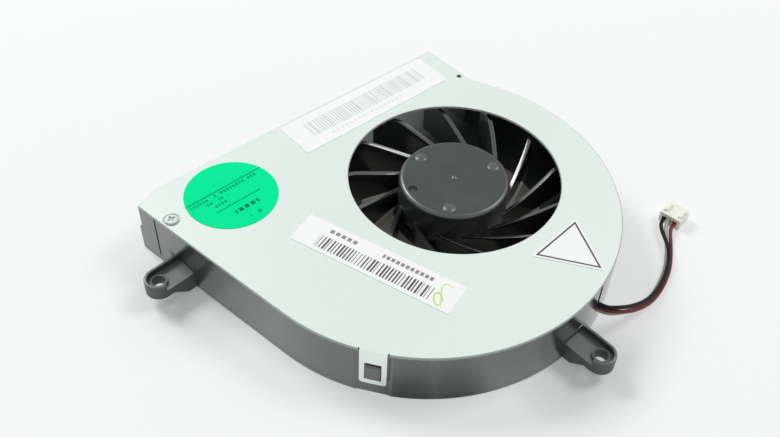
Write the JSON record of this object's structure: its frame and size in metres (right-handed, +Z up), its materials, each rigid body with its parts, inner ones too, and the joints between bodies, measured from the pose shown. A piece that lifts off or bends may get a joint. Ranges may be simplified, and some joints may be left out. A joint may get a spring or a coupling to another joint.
{
  "type": "laptop blower fan",
  "caption": "Flat centrifugal blower for a laptop: black scroll housing with screw ears, pale sheet cover with a round inlet, bladed rotor on a sleeve bearing, side outlet, wire lead and plug.",
  "frame": {"origin": "rotor axis at the underside of the base", "axes": "+Z up along the rotor axis, +Y out of the outlet, +X along the outlet's edge"},
  "size_m": [0.1017, 0.0847, 0.013],
  "materials": {
    "black_plastic": "semi-gloss moulded black",
    "cover_steel": "satin zinc-plated sheet",
    "bright_steel": "plated steel",
    "bronze": "sintered bronze",
    "tube_brass": "turned brass",
    "wear_plastic": "wear-resistant plastic",
    "magnet": "bonded ferrite, dark grey",
    "core_steel": "stacked electrical steel",
    "insulator": "ivory plastic",
    "copper": "enamelled copper winding",
    "board": "green lacquered laminate",
    "chip": "black moulding",
    "component": "tan ceramic chip components",
    "white_wire": "pale olive-white insulation",
    "red_wire": "red insulation",
    "black_wire": "black insulation",
    "lead_wire": "wire insulation",
    "plug_plastic": "cream nylon",
    "contact_metal": "tinned contacts",
    "green_sticker": "green printed film",
    "white_sticker": "white paper"
  },
  "bodies": {
    "housing": {"base_housing": "black_plastic", "top_cover": "cover_steel", "cover_screw": "bright_steel", "bearing_tube": "tube_brass", "thrust_plate": "wear_plastic", "bearing_sleeve": "bronze", "stator_core": "core_steel", "lower_insulator": "insulator", "upper_insulator": "insulator", "stator_coils": "copper", "circuit_board": "board", "driver_chip": "chip", "board_components": "component", "inner_leads": "lead_wire", "wire_white": "white_wire", "wire_red": "red_wire", "wire_black": "black_wire", "plug_housing": "plug_plastic", "plug_terminals": "contact_metal", "round_label": "green_sticker", "back_label": "white_sticker", "front_label": "white_sticker", "triangle_label": "white_sticker"},
    "rotor": {"impeller": "black_plastic", "rotor_yoke": "bright_steel", "rotor_magnet": "magnet", "rotor_shaft": "bright_steel", "retaining_ring": "wear_plastic"}
  },
  "joints": [
    {"name": "rotor_spin", "type": "hinge", "parent": "housing", "child": "rotor", "pos_m": [0, 0, 0.006], "axis": [0, 0, 1], "continuous": true}
  ]
}
